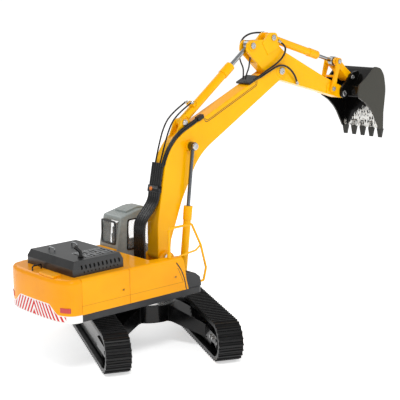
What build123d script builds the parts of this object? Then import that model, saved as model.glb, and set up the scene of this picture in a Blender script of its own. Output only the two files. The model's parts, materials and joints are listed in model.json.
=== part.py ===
from build123d import *
import os
from math import cos, hypot, pi, radians, sin, tan

# Toy hydraulic excavator, die-cast and plastic, about 1:40.
# Millimetres. Origin on the ground under the swing axis, +X along the boom, +Y to the cab side, +Z up.
# The tracks stand at TRACK_YAW to the boom, which is the pose the toy is kept in.

# ---------------------------------------------------------------- driving dimensions: undercarriage
TRACK_YAW = 65.3          # degrees from +X to the direction of travel
TRACK_LENGTH = 128.0
TRACK_HEIGHT = 23.9
TRACK_HALF_GAUGE = 33.05  # swing axis to the middle of a belt
SHOE_WIDTH = 14.9
PAD_COUNT = 84
PAD_RADIUS = 11.1         # pad plate, outer face, over the wheels
BELT_INNER_RADIUS = 8.9
BELT_PITCH_RADIUS = 10.2
WHEEL_RADIUS = 8.5        # sprocket tips and idler rim
WHEEL_HALF_WIDTH = 4.4
ROLLER_RADIUS = 2.35
ROLLER_COUNT = 7
FRAME_HALF_WIDTH = 4.6
BEARING_Z = 25.4          # top of the car body, under the swing bearing

# ---------------------------------------------------------------- driving dimensions: upper structure
HALF_WIDTH = 30.67
TAIL_X = -71.0            # seam between counterweight and side doors
DOOR_SEAM_X = -37.5
TAIL_DEPTH = 11.8         # how far the counterweight bulges back from its seam
TAIL_POWER = 3.1          # squareness of the bulge in plan
SKIRT_Z = 32.8
PANEL_Z = 36.9
DECK_Z = 57.4
FRONT_X = 17.8
WALL = 1.4
SEAM = 0.12               # half the gap between two cast covers
HOOD_Z = 65.9
CAB_Y = (12.2, 30.2)
CHANNEL_X = -17.0         # rear end of the well that the boom foot stands in
CHANNEL_LEFT_Y = 11.2

# ---------------------------------------------------------------- driving dimensions: pivots (X, Z)
BOOM_FOOT = (9.5, 51.5)
BOOM_TIP = (111.3, 159.0)
BOOM_ROD_PIN = (30.7, 118.4)
BOOM_BASE_PIN = (20.9, 37.0)
BOOM_CYLINDER_Y = 8.6
STICK_BASE_PIN = (28.8, 132.6)
STICK_ROD_PIN = (86.4, 176.6)
BUCKET_BASE_PIN = (104.9, 180.9)
ROCKER_TOP = (167.2, 161.9)
ROCKER_FOOT = (161.5, 143.6)
BUCKET_PIVOT = (172.2, 139.6)
BUCKET_LUG = (180.5, 150.3)
BOOM_HALF = 5.2
FORK_INNER = 4.2          # inner face of the boom tip's cheeks
STICK_HALF = 3.95
TIP_HALF = 4.4            # cast boss at the stick's tip
LINK_HALF = 4.3
BUCKET_HALF = 17.8
SIDE_PLATE = 1.3

RUNNING = 0.06            # radial clearance of a pin in its own bore
OPEN_PIVOT = 1.9          # radius of the loose hole at a pivot that closes a linkage
PIN_R = 1.0

turn = Rotation(0, 0, TRACK_YAW)
nodes = {}


def loop(points, radii):
    """A closed outline with each corner rounded by its own radius."""
    return make_face(FilletPolyline(*points, radius=radii, close=True).edges())


def side(points, y_low, y_high, radii=0.0):
    """A plate whose outline is drawn in X and Z, from y_low to y_high."""
    plane = Plane(origin=(0, y_low, 0), x_dir=(1, 0, 0), z_dir=(0, -1, 0))
    return extrude(plane * loop(points, radii), amount=y_high - y_low, dir=(0, 1, 0))


def plan(points, z_low, z_high, radii=0.0):
    """A plate whose outline is drawn in X and Y, from z_low to z_high."""
    return extrude(Pos(0, 0, z_low) * loop(points, radii), amount=z_high - z_low, dir=(0, 0, 1))


def block(x_low, x_high, y_low, y_high, z_low, z_high):
    """A box between two corners."""
    centre = ((x_low + x_high) / 2, (y_low + y_high) / 2, (z_low + z_high) / 2)
    return Pos(*centre) * Box(x_high - x_low, y_high - y_low, z_high - z_low)


def pin(point, y_low, y_high, radius):
    """A round bar along Y through a pivot given in X and Z."""
    centre = Pos(point[0], (y_low + y_high) / 2, point[1])
    return centre * Rotation(90, 0, 0) * Cylinder(radius, y_high - y_low)


def bar(start, end, radius):
    """A round bar between two points."""
    start = Vector(*start)
    end = Vector(*end)
    plane = Plane(origin=start, z_dir=end - start)
    return plane * Pos(0, 0, (end - start).length / 2) * Cylinder(radius, (end - start).length)


def tube(points, radius, bends):
    """A solid tube along straight runs joined by tangent arcs."""
    path = FilletPolyline(*points, radius=bends)
    return sweep(Plane(origin=path @ 0, z_dir=path % 0) * Circle(radius), path=path)


def both(shape):
    """A piece and its mirror image across the boom's plane."""
    return shape + mirror(shape, about=Plane.XZ)


def group(shapes):
    """Separate solids kept in one node."""
    return Compound(children=[solid for shape in shapes for solid in shape.solids()])


def along(start, end, distance):
    """The point at a distance from start towards end, in X and Z."""
    length = hypot(end[0] - start[0], end[1] - start[1])
    return (start[0] + (end[0] - start[0]) * distance / length,
            start[1] + (end[1] - start[1]) * distance / length)


# ---------------------------------------------------------------- undercarriage
WHEEL_Z = TRACK_HEIGHT / 2
WHEEL_X = TRACK_LENGTH / 2 - WHEEL_Z


def stadium_point(run, radius):
    """A point at a given distance round the belt, at a given radius from its wheels' centres."""
    straight = 2 * WHEEL_X
    arc = pi * BELT_PITCH_RADIUS
    run = run % (2 * straight + 2 * arc)
    if run < straight:
        return (-WHEEL_X + run, WHEEL_Z - radius)
    run = run - straight
    if run < arc:
        turned = run / BELT_PITCH_RADIUS - pi / 2
        return (WHEEL_X + radius * cos(turned), WHEEL_Z + radius * sin(turned))
    run = run - arc
    if run < straight:
        return (WHEEL_X - run, WHEEL_Z + radius)
    turned = (run - straight) / BELT_PITCH_RADIUS + pi / 2
    return (-WHEEL_X + radius * cos(turned), WHEEL_Z + radius * sin(turned))


def track_belt():
    """The linked belt: plate, raised grouser and hinge gap, repeated round the wheels."""
    whole = 4 * WHEEL_X + 2 * pi * BELT_PITCH_RADIUS
    pitch = whole / PAD_COUNT
    start = WHEEL_X - pitch / 2
    section = [(0.00, 10.5), (0.08, 10.95), (0.36, PAD_RADIUS), (0.42, WHEEL_Z), (0.58, WHEEL_Z),
               (0.64, PAD_RADIUS), (0.92, 10.95)]
    outer = [stadium_point(start + (pad + share) * pitch, radius)
             for pad in range(PAD_COUNT) for share, radius in section]
    half = SHOE_WIDTH / 2
    plane = Plane(origin=(0, -half, 0), x_dir=(1, 0, 0), z_dir=(0, -1, 0))
    face = plane * make_face(Polyline(*outer, close=True).edges())
    ring = extrude(face, amount=SHOE_WIDTH, dir=(0, 1, 0))
    inside = side(
        [(-WHEEL_X - BELT_INNER_RADIUS, WHEEL_Z - BELT_INNER_RADIUS),
         (WHEEL_X + BELT_INNER_RADIUS, WHEEL_Z - BELT_INNER_RADIUS),
         (WHEEL_X + BELT_INNER_RADIUS, WHEEL_Z + BELT_INNER_RADIUS),
         (-WHEEL_X - BELT_INNER_RADIUS, WHEEL_Z + BELT_INNER_RADIUS)],
        -half, half, BELT_INNER_RADIUS - 0.01)
    return ring - inside


def track_frame():
    """Box beam with skirts round the bottom rollers and cheeks round both wheels."""
    beam = side([(-41, 8.3), (41, 8.3), (43, 13), (38, 17.3), (-38, 17.3), (-43, 13)],
                -FRAME_HALF_WIDTH, FRAME_HALF_WIDTH, 0.8)
    skirt = both(side([(-38, 4.6), (38, 4.6), (39.5, 8.4), (-39.5, 8.4)], 3.7, FRAME_HALF_WIDTH, 0.5))
    cheek = side([(31, 9.2), (WHEEL_X + 2.7, 9.2), (WHEEL_X + 2.7, 14.7), (31, 15.6)],
                 WHEEL_HALF_WIDTH + 0.3, 5.9, [0.5, 2.6, 2.6, 0.5])
    cheeks = both(cheek + mirror(cheek, about=Plane.YZ))
    pads = both(block(30, 41, FRAME_HALF_WIDTH - 0.1, 5.0, 9.4, 15.4))
    pads = pads + mirror(pads, about=Plane.YZ)
    stops = block(-43.5, -40, -3.5, 3.5, 9.5, 14) + block(40, 43.5, -3.5, 3.5, 9.5, 14)
    wheel_clear = (pin((WHEEL_X, WHEEL_Z), -WHEEL_HALF_WIDTH - 0.25, WHEEL_HALF_WIDTH + 0.25, 8.9)
                   + pin((-WHEEL_X, WHEEL_Z), -WHEEL_HALF_WIDTH - 0.25, WHEEL_HALF_WIDTH + 0.25, 8.9))
    bores = (pin((WHEEL_X, WHEEL_Z), -7, 7, PIN_R + RUNNING)
             + pin((-WHEEL_X, WHEEL_Z), -7, 7, PIN_R + RUNNING))
    return beam + skirt + cheeks + pads + stops - wheel_clear - bores


def track_wheel(x, toothed):
    """Sprocket or idler with its own axle stubs."""
    wheel = pin((x, WHEEL_Z), -WHEEL_HALF_WIDTH, WHEEL_HALF_WIDTH, WHEEL_RADIUS)
    if toothed:
        for tooth in range(20):
            spot = 2 * pi * (tooth + 0.5) / 20
            centre = (x + (WHEEL_RADIUS + 0.3) * cos(spot), WHEEL_Z + (WHEEL_RADIUS + 0.3) * sin(spot))
            wheel = wheel - pin(centre, -WHEEL_HALF_WIDTH, WHEEL_HALF_WIDTH, 0.85)
    ring = pin((x, WHEEL_Z), 2.6, WHEEL_HALF_WIDTH, 6.6) - pin((x, WHEEL_Z), 2.6, WHEEL_HALF_WIDTH, 3.2)
    stubs = both(pin((x, WHEEL_Z), WHEEL_HALF_WIDTH - 0.1, 6.3, PIN_R))
    return wheel - both(ring) + stubs


def rollers(count, spread, z, radius):
    """A row of double-flanged rollers."""
    row = []
    for number in range(count):
        x = -spread + 2 * spread * number / (count - 1)
        body = pin((x, z), -3.5, 3.5, radius - 0.45)
        body = body + both(pin((x, z), 1.6, 3.4, radius))
        row.append(body)
    return row


for name, side_sign in (("right", -1), ("left", 1)):
    spot = turn * Pos(0, side_sign * TRACK_HALF_GAUGE, 0)
    nodes["track_belt_" + name] = spot * track_belt()
    nodes["track_frame_" + name] = spot * track_frame()
    nodes["sprocket_" + name] = spot * track_wheel(-WHEEL_X, True)
    nodes["idler_" + name] = spot * track_wheel(WHEEL_X, False)

bottom_row = []
carriers = []
screws = []
for side_sign in (-1, 1):
    spot = turn * Pos(0, side_sign * TRACK_HALF_GAUGE, 0)
    for roller in rollers(ROLLER_COUNT, 33.0, WHEEL_Z - BELT_INNER_RADIUS + ROLLER_RADIUS + 0.1, ROLLER_RADIUS):
        bottom_row.append(spot * roller)
    for x in (-18.0, 18.0):
        carriers.append(spot * (pin((x, 19.0), -2.6, 2.6, 1.55)))
    for x in (-WHEEL_X + 5.4, -WHEEL_X + 9.4, WHEEL_X - 9.4, WHEEL_X - 5.4):
        inner = side_sign * TRACK_HALF_GAUGE - side_sign * 6.35
        screws.append(turn * pin((x, WHEEL_Z), inner - 0.45, inner + 0.45, 0.9))
nodes["bottom_rollers"] = group(bottom_row)
nodes["carrier_rollers"] = group(carriers)
nodes["frame_screws"] = group(screws)


def car_body():
    """X-shaped casting: a round centre under the bearing and four arched legs to the track frames."""
    reach = TRACK_HALF_GAUGE - FRAME_HALF_WIDTH - 0.02
    centre = Pos(0, 0, (15.0 + BEARING_Z) / 2) * Cylinder(17.0, BEARING_Z - 15.0)
    body = centre
    for spread in (-38, 38, 142, 218):
        leg = side([(4, BEARING_Z), (17.5, BEARING_Z - 0.6), (42, 14.5), (42, 6.5), (30, 10.5), (18, 14.6),
                    (4, 15.2)], -6.2, 6.2, [0, 5, 0, 0, 8, 8, 0])
        body = body + Rotation(0, 0, 90 + spread) * leg
    keep = block(-29.8, 29.8, -reach, reach, 0, 30)
    feet = both(block(-27, 27, reach - 2.2, reach, 8.8, 16.6))
    body = (body & keep) + feet
    return body - Pos(0, 0, 20) * Cylinder(2.8, 30)


nodes["car_body"] = turn * car_body()
nodes["swing_race_lower"] = Pos(0, 0, BEARING_Z + 1.6) * (Cylinder(15.5, 3.2) - Cylinder(11.0, 3.2))


# ---------------------------------------------------------------- upper structure
def tail_x(y, grow=0.0):
    """Plan curve of the counterweight: a superellipse between the two rear corners."""
    half = HALF_WIDTH + grow
    share = min(abs(y) / half, 1.0)
    return TAIL_X - (TAIL_DEPTH + grow) * (1 - share ** TAIL_POWER) ** (1 / TAIL_POWER)


def tail_outline(grow=0.0):
    """The counterweight in plan, its corner points closer together where the curve turns."""
    half = HALF_WIDTH + grow
    steps = [half * sin(radians(step)) for step in range(-90, 91, 6)]
    curve = Spline(*[(tail_x(y, grow), y) for y in steps])
    seam = Line((TAIL_X, half), (TAIL_X, -half))
    return make_face((curve + seam).edges())


def body_block(inset, z_top):
    """The whole cover block: straight sides, leaning front, rounded shoulders."""
    outline = [(TAIL_X, PANEL_Z), (6.8 - inset, PANEL_Z), (5.2 - inset, 42.9), (3.6 - inset, 54.0),
               (2.2 - inset, z_top), (TAIL_X, z_top)]
    shape = side(outline, -HALF_WIDTH + inset, HALF_WIDTH - inset)
    if inset == 0:
        edges = [edge for edge in shape.edges().filter_by(Axis.X) if edge.center().Z > z_top - 0.1]
        shape = fillet(edges, 1.9)
    return shape


solid_block = body_block(0.0, DECK_Z)
cavity = body_block(WALL, DECK_Z - WALL)
well = plan([(CHANNEL_X, -22.7), (4.7, -26.8), (12, -28.0), (12, CHANNEL_LEFT_Y), (CHANNEL_X, CHANNEL_LEFT_Y)],
            PANEL_Z - 1, DECK_Z + 5)
shelf = 12.0              # half width of the deck plate between the side covers
right_front = plan([(DOOR_SEAM_X + SEAM, -40), (12, -40), (12, -20), (CHANNEL_X, -20), (CHANNEL_X, -shelf),
                    (DOOR_SEAM_X + SEAM, -shelf)], 30, 70)
right_hollow = block(DOOR_SEAM_X - 1, CHANNEL_X - WALL, -HALF_WIDTH + WALL, 0, 30, DECK_Z - WALL)
nodes["right_front_cover"] = (solid_block & right_front) - well - right_hollow
rear_region = block(TAIL_X + SEAM, DOOR_SEAM_X - SEAM, -40, -shelf, 30, 70)
rear_door = (solid_block & rear_region) - cavity
nodes["right_rear_door"] = rear_door
nodes["left_rear_door"] = mirror(rear_door, about=Plane.XZ)
CAB_REAR_X = -14.0
left_front = block(DOOR_SEAM_X + SEAM, CAB_REAR_X - 0.4, shelf, 40, 30, 70)
left_hollow = block(DOOR_SEAM_X - 1, CAB_REAR_X - 0.4 - WALL, 0, HALF_WIDTH - WALL, 30, DECK_Z - WALL)
nodes["left_front_cover"] = (solid_block & left_front) - left_hollow
deck_region = block(TAIL_X + SEAM, CHANNEL_X, -shelf + SEAM, shelf - SEAM, 30, 70)
deck_hollow = block(TAIL_X - 1, CHANNEL_X - WALL, -20, 20, 30, DECK_Z - WALL)
nodes["deck_plate"] = (solid_block & deck_region) - deck_hollow


def base_frame():
    """Revolving frame: skirted floor plate with the lugs of both boom cylinders at its front."""
    inset = 0.45
    outline = [(TAIL_X + 0.2, -HALF_WIDTH + inset), (FRONT_X, -HALF_WIDTH + inset),
               (FRONT_X, HALF_WIDTH - inset), (TAIL_X + 0.2, HALF_WIDTH - inset)]
    plate = plan(outline, SKIRT_Z, PANEL_Z - 0.1, [0, 2.5, 2.5, 0])
    under = plan([(TAIL_X + 3, -HALF_WIDTH + 2.4), (FRONT_X - 2, -HALF_WIDTH + 2.4),
                  (FRONT_X - 2, HALF_WIDTH - 2.4), (TAIL_X + 3, HALF_WIDTH - 2.4)], SKIRT_Z - 1, SKIRT_Z + 1.6, 1.5)
    hub = Pos(0, 0, SKIRT_Z + 1.5) * Cylinder(15.2, 3.0)
    plate = plate - under + hub
    lug = side([(12, 33.2), (BOOM_BASE_PIN[0] + 2.6, 33.9), (BOOM_BASE_PIN[0] + 2.6, 39.7), (17.6, 39.7),
                (17.4, 36.8), (12, 36.8)], 5.35, 6.65, [0, 2.5, 2.5, 0.5, 0, 0])
    lugs = both(lug + Pos(0, 5.2, 0) * lug)
    bores = both(pin(BOOM_BASE_PIN, 4, 13, PIN_R + RUNNING))
    slot = both(block(FRONT_X - 4.2, FRONT_X + 3, 6.65, 10.55, 30, 45))
    screw_bore = Pos(0, 0, 34) * Cylinder(1.5 + RUNNING, 12)
    return plate - slot + lugs - bores - screw_bore


nodes["base_frame"] = base_frame()
nodes["swing_race_upper"] = Pos(0, 0, 30.8) * (Cylinder(14.2, 3.9) - Cylinder(9.8, 3.9))
screw_head = Pos(0, 0, 13.4) * Cylinder(4.2, 2.0)
nodes["swing_screw"] = screw_head + Pos(0, 0, 25.2) * Cylinder(1.5, 21.6)

tail_solid = extrude(Pos(0, 0, SKIRT_Z) * tail_outline(), amount=DECK_Z - SKIRT_Z, dir=(0, 0, 1))
top_edges = [edge for edge in tail_solid.edges() if edge.center().Z > DECK_Z - 0.1
             and edge.bounding_box().min.X < TAIL_X - 2]
nodes["counterweight"] = fillet(top_edges, 2.6)
nodes["counterweight_plate"] = plan([(-81.0, -17.5), (-75.2, -17.5), (-75.2, -3.0), (-81.0, -3.0)],
                                    DECK_Z, DECK_Z + 1.3, 0.8)
nodes["counterweight_lever"] = tube([(-79.8, 4.8, DECK_Z), (-79.8, 4.8, 60.0), (-73.4, 5.6, 60.0),
                                    (-73.4, 5.6, DECK_Z)], 0.45, [0.9, 0.9])
reflectors = []
for side_sign in (-1, 1):
    proud = extrude(Pos(0, 0, 39.0) * tail_outline(0.35), amount=2.7, dir=(0, 0, 1))
    window = block(-90, -72, min(side_sign * 23.6, side_sign * 29.0), max(side_sign * 23.6, side_sign * 29.0), 38, 43)
    reflectors.append((proud & window) - nodes["counterweight"])
nodes["tail_reflectors"] = group(reflectors)


def engine_hood():
    """Low box with leaning upper faces, two banks of slots on top and a row of slots in each side."""
    x_low, x_high, y_low, y_high = -72.0, -36.6, -24.4, 22.4
    base = block(x_low, x_high, y_low, y_high, DECK_Z, 61.6)
    foot_face = Pos((x_low + x_high) / 2, (y_low + y_high) / 2, 61.6) * Rectangle(x_high - x_low, y_high - y_low)
    top_face = Pos(-54.15, -0.95, HOOD_Z) * Rectangle(31.9, 43.3)
    hood = base + loft([foot_face.face(), top_face.face()])
    hood = fillet(hood.edges().filter_by(Axis.Z), 1.0)
    hollow = block(x_low + 1.4, x_high - 1.4, y_low + 1.4, y_high - 1.4, DECK_Z - 1, DECK_Z + 3.6)
    hood = hood - hollow
    slots = []
    for bank in (-16.6, -9.4):
        for number in range(10):
            slots.append(Pos(-59.5 + 2.1 * number, bank, HOOD_Z) * Box(1.0, 5.6, 1.2))
    for number in range(10):
        slots.append(Pos(-66.0 + 2.9 * number, y_low + 0.3, 62.3) * Rotation(23, 0, 0) * Box(1.1, 1.6, 2.4))
        slots.append(Pos(-64.6 + 2.6 * number, y_low, 59.3) * Box(0.8, 1.0, 0.9))
    return hood - slots


nodes["engine_hood"] = engine_hood()
handles = [tube([(x, 4.6, HOOD_Z), (x, 4.6, HOOD_Z + 1.9), (x, 10.2, HOOD_Z + 1.9), (x, 10.2, HOOD_Z)], 0.42,
                [0.8, 0.8]) for x in (-64.4, -48.5)]
nodes["hood_handles"] = group(handles)
pipe = tube([(-61.5, -17.0, HOOD_Z), (-61.5, -17.0, HOOD_Z + 3.2), (-64.6, -15.6, HOOD_Z + 6.6)], 1.0, [2.2])
nodes["exhaust_pipe"] = pipe + Pos(-61.5, -17.0, HOOD_Z + 0.5) * Cylinder(1.7, 1.0)


# ---------------------------------------------------------------- cab
CAB_OUTLINE = [(-14.0, 37.4), (20.5, 37.4), (22.0, 50.0), (20.6, 60.5), (14.4, 79.3), (5.0, 79.9), (-10.3, 76.6),
               (-14.0, 58.5)]
CAB_RADII = [1.2, 1.5, 4.0, 5.0, 1.8, 6.0, 1.6, 3.0]
CAB_WALL = 1.1
GLASS = (0.35, 0.85)      # depth of a pane's two faces below the cab's outer face


def cab_block(inset):
    """The cab's whole outline moved in by an inset on every side."""
    face = offset(loop(CAB_OUTLINE, CAB_RADII), amount=-inset, kind=Kind.INTERSECTION) if inset else \
        loop(CAB_OUTLINE, CAB_RADII)
    y_low = CAB_Y[0] + inset
    plane = Plane(origin=(0, y_low, 0), x_dir=(1, 0, 0), z_dir=(0, -1, 0))
    return extrude(plane * face, amount=CAB_Y[1] - CAB_Y[0] - 2 * inset, dir=(0, 1, 0))


def cab_openings():
    """Cutters for the rear window, the windscreen and the two windows in each side."""
    y_low, y_high = CAB_Y
    rear = side([(-16, 59.6), (-8, 59.6), (-8, 74.0), (-16, 74.0)], y_low + 1.5, y_high - 1.5)
    front = side([(14.5, 52.5), (24, 52.5), (24, 62), (16, 78.0), (12.0, 76.6), (13, 70)], y_low + 1.6, y_high - 1.6)
    quarter = side([(-6.4, 55.6), (4.2, 55.6), (4.2, 75.4), (-4.6, 73.8)], y_low - 1, y_high + 1, 1.0)
    door = side([(5.8, 47.0), (19.3, 47.0), (19.6, 59.0), (13.6, 76.0), (5.8, 75.7)], y_low - 1, y_high + 1,
                [1.2, 2, 4, 1.2, 1.0])
    return [rear, front, quarter, door]


def cab_shell():
    """Pressed cab with thin pillars: windows in all four faces and a hatch opening in the roof."""
    outer = cab_block(0)
    roof_edges = [edge for edge in outer.edges().filter_by(Plane.XZ) if edge.center().Z > 60]
    shell = fillet(roof_edges, 0.9) - cab_block(CAB_WALL)
    for opening in cab_openings():
        shell = shell - opening
    return shell - block(-3.0, 9.5, CAB_Y[0] + 4.0, CAB_Y[1] - 4.0, 76.0, 82.0)


def cab_glazing():
    """Clear panes set in the openings, just below the cab's outer face."""
    film = cab_block(GLASS[0]) - cab_block(GLASS[1])
    rear, front, quarter, door = cab_openings()
    panes = [film & rear, film & front]
    for opening in (quarter, door):
        panes.append((film & opening) - front)
    return group(panes)


nodes["cab_shell"] = cab_shell()
nodes["cab_glazing"] = cab_glazing()
lid_band = side([(-3.6, 70.0), (9.9, 70.0), (9.9, 90.0), (-3.6, 90.0)], CAB_Y[0] + 3.6, CAB_Y[1] - 3.6, 0)
lid_plane = Plane(origin=(0, 0, 0), x_dir=(1, 0, 0), z_dir=(0, -1, 0))
lid_outer = extrude(lid_plane * offset(loop(CAB_OUTLINE, CAB_RADII), amount=0.95), amount=40, dir=(0, 1, 0))
lid_inner = extrude(lid_plane * offset(loop(CAB_OUTLINE, CAB_RADII), amount=0.03), amount=40, dir=(0, 1, 0))
nodes["cab_roof_hatch"] = (lid_outer & lid_band) - lid_inner


def operator_seat():
    """Moulded seat: pedestal, cushion, backrest and headrest."""
    y = (CAB_Y[0] + CAB_Y[1]) / 2
    pedestal = block(-5.5, 3.0, y - 3.2, y + 3.2, 38.6, 50.0)
    cushion = side([(-6.8, 50.0), (5.2, 49.6), (5.6, 52.8), (-6.4, 53.2)], y - 4.4, y + 4.4, 1.0)
    back = side([(-7.4, 52.2), (-4.8, 52.4), (-6.0, 64.6), (-8.2, 64.4)], y - 4.0, y + 4.0, 0.9)
    head = side([(-8.4, 64.2), (-6.2, 64.4), (-6.4, 69.0), (-8.4, 68.8)], y - 2.4, y + 2.4, 0.8)
    return pedestal + cushion + back + head


nodes["operator_seat"] = operator_seat()
console_y = (CAB_Y[0] + CAB_Y[1]) / 2
levers = []
for side_sign in (-1, 1):
    y = console_y + side_sign * 6.2
    levers.append(block(-2.0, 6.0, y - 1.0, y + 1.0, 38.6, 54.6) + bar((4.6, y, 54.0), (5.6, y, 59.0), 0.45))
    levers.append(bar((13.0, console_y + side_sign * 1.8, 38.7), (12.0, console_y + side_sign * 1.8, 50.0), 0.5))
nodes["control_levers"] = group(levers)


# ---------------------------------------------------------------- front of the upper structure
box_outline = [(7.3, PANEL_Z), (FRONT_X - 0.2, PANEL_Z), (16.4, 42.6), (12.6, 45.7), (5.4, 46.6), (5.6, 43.0)]
step_box = side(box_outline, -30.0, -19.6, [0, 0.8, 1.6, 1.6, 0, 0])
for number in range(3):
    step_box = step_box - block(7.6, 12.4, -29.2 + 3.1 * number, -27.2 + 3.1 * number, 45.6, 47.5)
nodes["step_box"] = step_box

RAIL_Y = -27.6
rail = tube([(-5.4, RAIL_Y, DECK_Z), (-5.4, RAIL_Y, 75.2), (12.4, RAIL_Y, 75.4), (19.4, RAIL_Y, 61.5),
             (23.5, RAIL_Y, 46.6), (21.4, RAIL_Y, 38.9), (17.0, RAIL_Y, 38.9)], 0.7, [2.2, 1.6, 3.0, 2.2, 1.2])
brace = tube([(19.4, RAIL_Y, 61.5), (15.4, RAIL_Y, 58.7), (2.2, RAIL_Y + 0.4, 57.0)], 0.55, [1.8])
post_cup = Pos(-5.4, RAIL_Y, DECK_Z + 1.6) * Cylinder(1.25, 3.2)
nodes["handrail"] = rail + brace + post_cup - nodes["right_front_cover"] - nodes["step_box"]

foot_plate = side([(1.5, PANEL_Z), (17.2, PANEL_Z), (15.2, 52.5), (9.5, 56.6), (3.9, 52.5)], BOOM_HALF + 0.4,
                  BOOM_HALF + 2.1, [0, 0, 4.5, 4.8, 4.5])
foot_pair = both(foot_plate - pin(BOOM_FOOT, 0, 10, 1.6 + RUNNING))
nodes["boom_foot_brackets"] = group([foot_pair])
nodes["boom_foot_pin"] = (pin(BOOM_FOOT, -BOOM_HALF - 2.3, BOOM_HALF + 2.3, 1.6)
                          + both(pin(BOOM_FOOT, BOOM_HALF + 2.15, BOOM_HALF + 2.9, 2.4)))
base_pin = pin(BOOM_BASE_PIN, 5.2, 12.0, PIN_R)
nodes["boom_cylinder_base_pins"] = group([both(base_pin)])

GUARD_HALF = 5.0
post = side([(-7.2, PANEL_Z), (-4.4, PANEL_Z), (-4.4, 70.0), (-7.2, 70.0)], -GUARD_HALF, GUARD_HALF, [0, 0, 0.3, 0.3])
for number in range(5):
    post = post - block(-8, -6.75, -4.15 + 2 * number, -3.85 + 2 * number, 50, 71)
nodes["hose_post"] = post


# ---------------------------------------------------------------- boom
def boom():
    """Gooseneck boom: cast box with a boss at the foot, a fork at the tip and lugs on its back."""
    foot_x, foot_z = BOOM_FOOT
    outline = [(foot_x - 5.2, foot_z - 3.0), (4.7, 73.0), (13.8, 121.5), (106.5, 162.8), (112.6, 162.8),
               (114.6, 156.4), (109.6, 152.7), (39.0, 111.8), (24.6, 85.1), (foot_x + 5.2, 60.0),
               (foot_x + 5.2, foot_z - 3.0)]
    shape = side(outline, -BOOM_HALF, BOOM_HALF, [4.6, 30, 31, 4.0, 3.0, 3.0, 4.0, 40, 30, 10, 4.6])
    trim = [edge for edge in shape.edges().filter_by(Plane.XZ)]
    shape = fillet(trim, 0.55)
    fork = pin(BOOM_TIP, -FORK_INNER, FORK_INNER, 15.6)
    shape = shape - fork
    lug = side([(17.0, 114.0), (26.2, 134.6), (31.4, 134.9), (37.5, 129.6), (30.0, 122.0)], 2.35, 3.55,
               [0, 2.9, 2.9, 1.0, 0])
    shape = shape + both(lug)
    boss = pin(BOOM_ROD_PIN, BOOM_HALF - 0.5, 6.6, 3.5)
    shape = shape + both(boss)
    cap = pin(BOOM_TIP, FORK_INNER, BOOM_HALF + 0.25, 4.2)
    shape = shape + both(cap)
    bores = (pin(BOOM_FOOT, -9, 9, 1.6 + RUNNING) + pin(BOOM_TIP, -9, 9, 1.4 + RUNNING)
             + pin(STICK_BASE_PIN, -9, 9, PIN_R + RUNNING) + pin(BOOM_ROD_PIN, -9, 9, PIN_R + RUNNING))
    return shape - bores


nodes["boom"] = boom()


def headed_pin(point, half, radius, head_radius, head=0.7):
    """A through pin with a round head outside each lug."""
    return (pin(point, -half - 0.1, half + 0.1, radius)
            + both(pin(point, half + 0.05, half + head, head_radius)))


nodes["boom_pins"] = group([
    headed_pin(BOOM_TIP, BOOM_HALF + 0.25, 1.4, 2.3),
    headed_pin(STICK_BASE_PIN, 3.55, PIN_R, 1.9),
    headed_pin(BOOM_ROD_PIN, 10.45, PIN_R, 2.2, 0.9),
])
guard_outline = [(-6.2, 71.8), (-6.2, 75.6), (4.9, 87.6), (6.1, 92.4), (9.0, 108.6), (11.2, 108.2), (8.3, 92.0),
                 (7.1, 85.6), (-3.6, 73.6), (-3.6, 71.8)]
guard = side(guard_outline, -GUARD_HALF, GUARD_HALF, [0, 2.5, 6, 8, 0.3, 0.2, 8, 3, 2, 0])
nodes["hose_guard"] = guard - nodes["boom"]
rivet_spot = Plane(origin=(6.35, 1.6, 93.6), z_dir=(-1, 0, 0.18))
rivet = rivet_spot * (Pos(0, 0, 0.3) * Cylinder(1.1, 0.9) + Pos(0, 0, 0.7) * Cylinder(0.8, 0.7))
nodes["guard_rivet"] = rivet - nodes["hose_guard"]


# ---------------------------------------------------------------- hydraulic cylinders
def axis_bar(base, rod, y, first, last, radius):
    """A round bar along a cylinder's axis, between two distances from its base pin."""
    x_first, z_first = along(base, rod, first)
    x_last, z_last = along(base, rod, last)
    return bar((x_first, y, z_first), (x_last, y, z_last), radius)


def barrel(base, rod, y, radius, collar, length, bore, bore_depth, eye_width, eye_radius):
    """Cylinder barrel with a base eye, a gland collar and a blind bore for its rod."""
    body = axis_bar(base, rod, y, 0, length - 8.0, radius)
    gland = axis_bar(base, rod, y, length - 8.6, length, collar)
    hole = axis_bar(base, rod, y, length - bore_depth, length + 1, bore)
    eye = pin(base, y - eye_width / 2, y + eye_width / 2, eye_radius)
    lug_room = pin(base, y - 6, y + 6, 4.3) - pin(base, y - eye_width / 2, y + eye_width / 2, 4.3)
    return body - lug_room + gland + eye - hole - pin(base, y - 9, y + 9, PIN_R + RUNNING)


def rod(base, end, y, radius, inside, eye_width, eye_radius, hole):
    """Piston rod with its eye."""
    shape = axis_bar(base, end, y, inside, hypot(end[0] - base[0], end[1] - base[1]), radius)
    shape = shape + pin(end, y - eye_width / 2, y + eye_width / 2, eye_radius)
    return shape - pin(end, y - 9, y + 9, hole)


BOOM_STROKE_LENGTH = 45.0
BOOM_ROD_R = 1.15
STICK_ROD_R = 1.45
BUCKET_ROD_R = 1.25
CLEAR = 0.08              # rod in its gland

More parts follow.
